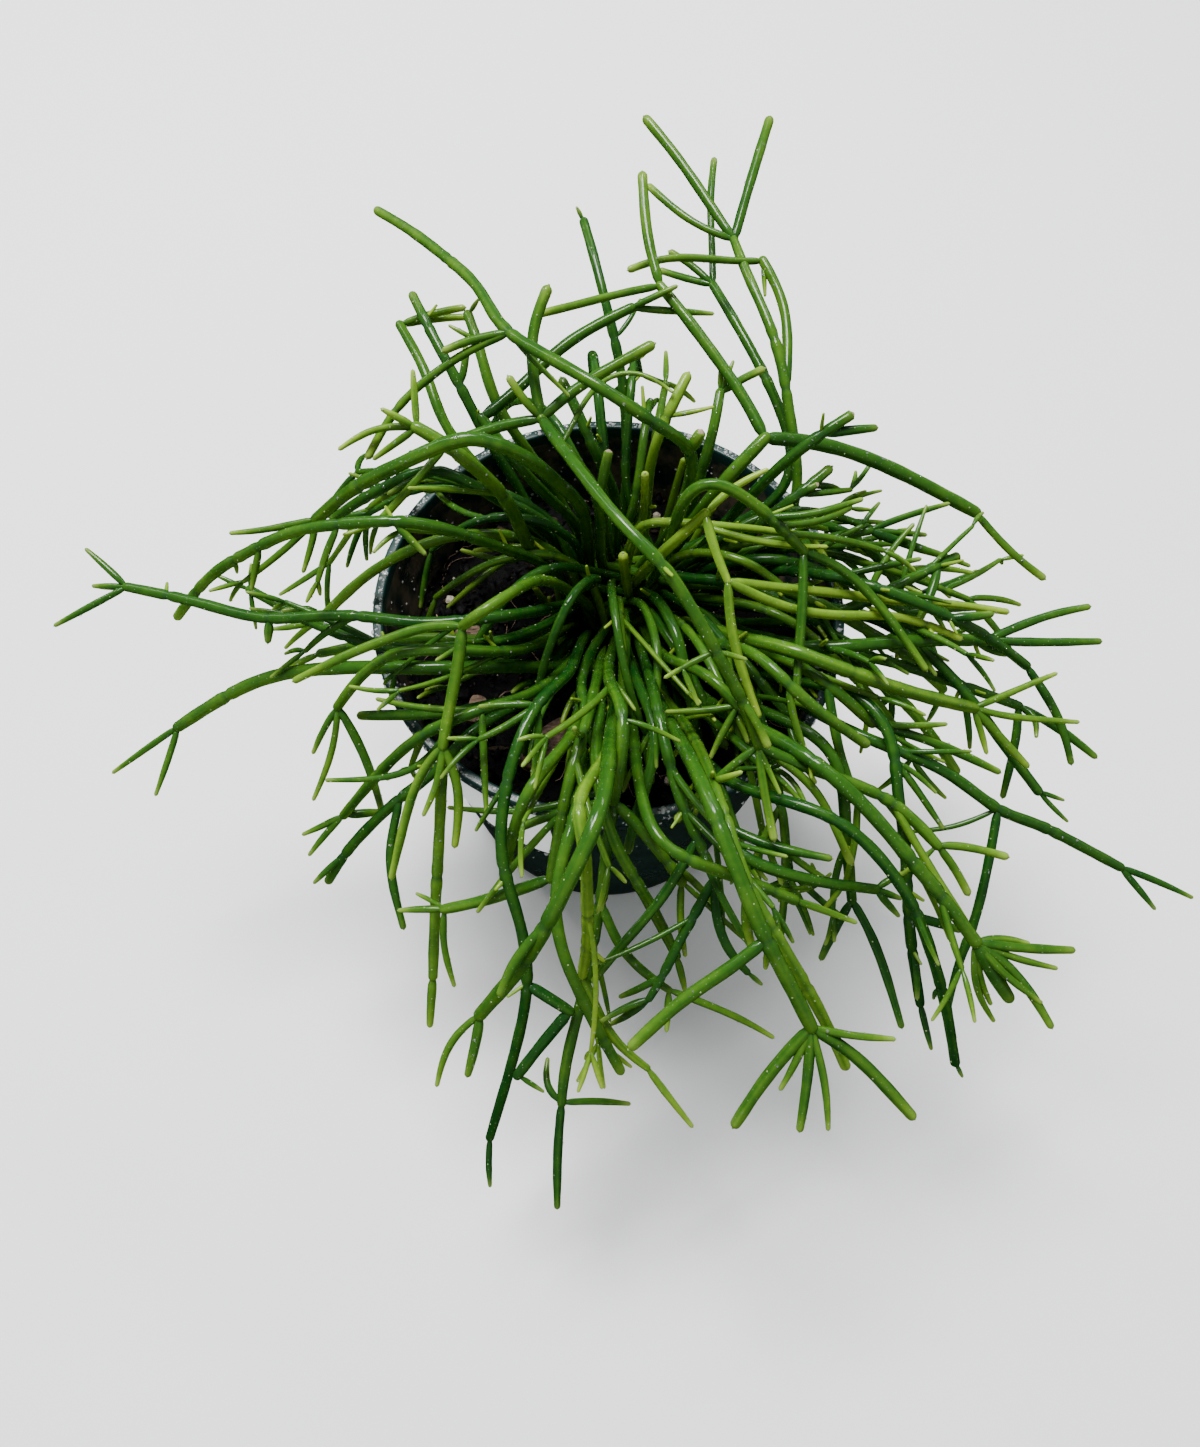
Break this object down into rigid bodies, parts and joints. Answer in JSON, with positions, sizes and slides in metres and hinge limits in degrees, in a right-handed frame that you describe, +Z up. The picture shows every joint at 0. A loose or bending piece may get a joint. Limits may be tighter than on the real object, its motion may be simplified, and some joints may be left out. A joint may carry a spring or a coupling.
{
  "type": "potted mistletoe cactus",
  "caption": "Trailing mistletoe cactus with thin round jointed green stems that arch out of a round tapered nursery pot of dark potting mix.",
  "frame": {"origin": "centre of the pot's base, on the surface it stands on", "axes": "+Z up along the pot's axis; -Y is the side that is nearest the viewer in the picture, where the longest stems hang over the rim"},
  "size_m": [0.2442, 0.2219, 0.1501],
  "materials": {
    "pot_plastic": "satin dark blue-green polypropylene",
    "label": "satin plain white film with nothing on it",
    "potting_mix": "dark moist crumbly bark and peat",
    "bark": "rough brown bark",
    "perlite": "dull off-white expanded grain",
    "stem_old": "glossy dark green stem",
    "stem_green": "glossy green stem",
    "stem_fresh": "glossy fresh green stem",
    "stem_lime": "glossy yellow-green new stem"
  },
  "bodies": {
    "root": {"pot": "pot_plastic", "blank_label": "label", "potting_mix": "potting_mix", "bark_chip_large": "bark", "bark_chip_red": "bark", "bark_chip_back": "bark", "bark_chip_side": "bark", "perlite_grain_left": "perlite", "perlite_grain_back": "perlite", "perlite_grain_front": "perlite", "stem_left_long": "stem_old", "stem_left_low": "stem_old", "stem_left_arch": "stem_green", "stem_upper_left_thick": "stem_green", "stem_upper_left_pair": "stem_old", "stem_upper_left_light": "stem_fresh", "stem_far_left_long": "stem_green", "stem_far_left_upright": "stem_old", "stem_far_left_fork": "stem_green", "stem_far_middle_whorl": "stem_green", "stem_far_tall": "stem_old", "stem_far_middle_short": "stem_old", "stem_far_right_long": "stem_green", "stem_far_right_second": "stem_old", "stem_far_right_fork": "stem_green", "stem_far_right_upright": "stem_green", "stem_far_light": "stem_lime", "stem_right_light": "stem_lime", "stem_right_arch": "stem_green", "stem_right_cut": "stem_old", "stem_right_back": "stem_old", "stem_right_middle": "stem_old", "stem_right_long": "stem_old", "stem_right_whorl": "stem_fresh", "stem_right_drooping": "stem_old", "stem_right_low_long": "stem_old", "stem_right_front_short": "stem_green", "stem_right_cluster": "stem_green", "stem_front_right_small": "stem_green", "stem_front_right_big": "stem_green", "stem_front_right_reaching": "stem_old", "stem_front_right_hanging": "stem_old", "stem_front_burst": "stem_green", "stem_front_right_light": "stem_fresh", "stem_front_middle_dark": "stem_old", "stem_front_right_cut": "stem_old", "stem_front_right_down": "stem_green", "stem_front_middle_fork": "stem_green", "stem_front_crown_dark": "stem_old", "stem_front_crown_long": "stem_green", "stem_front_left_fork": "stem_green", "stem_front_middle_light": "stem_lime", "stem_front_left_big": "stem_green", "stem_front_low_big": "stem_green", "stem_front_left_hanging": "stem_old", "stem_left_whorl": "stem_fresh", "stem_left_down": "stem_green", "stem_left_front_fork": "stem_green", "stem_left_front_long": "stem_green", "stem_left_front_low": "stem_old"}
  },
  "joints": []
}
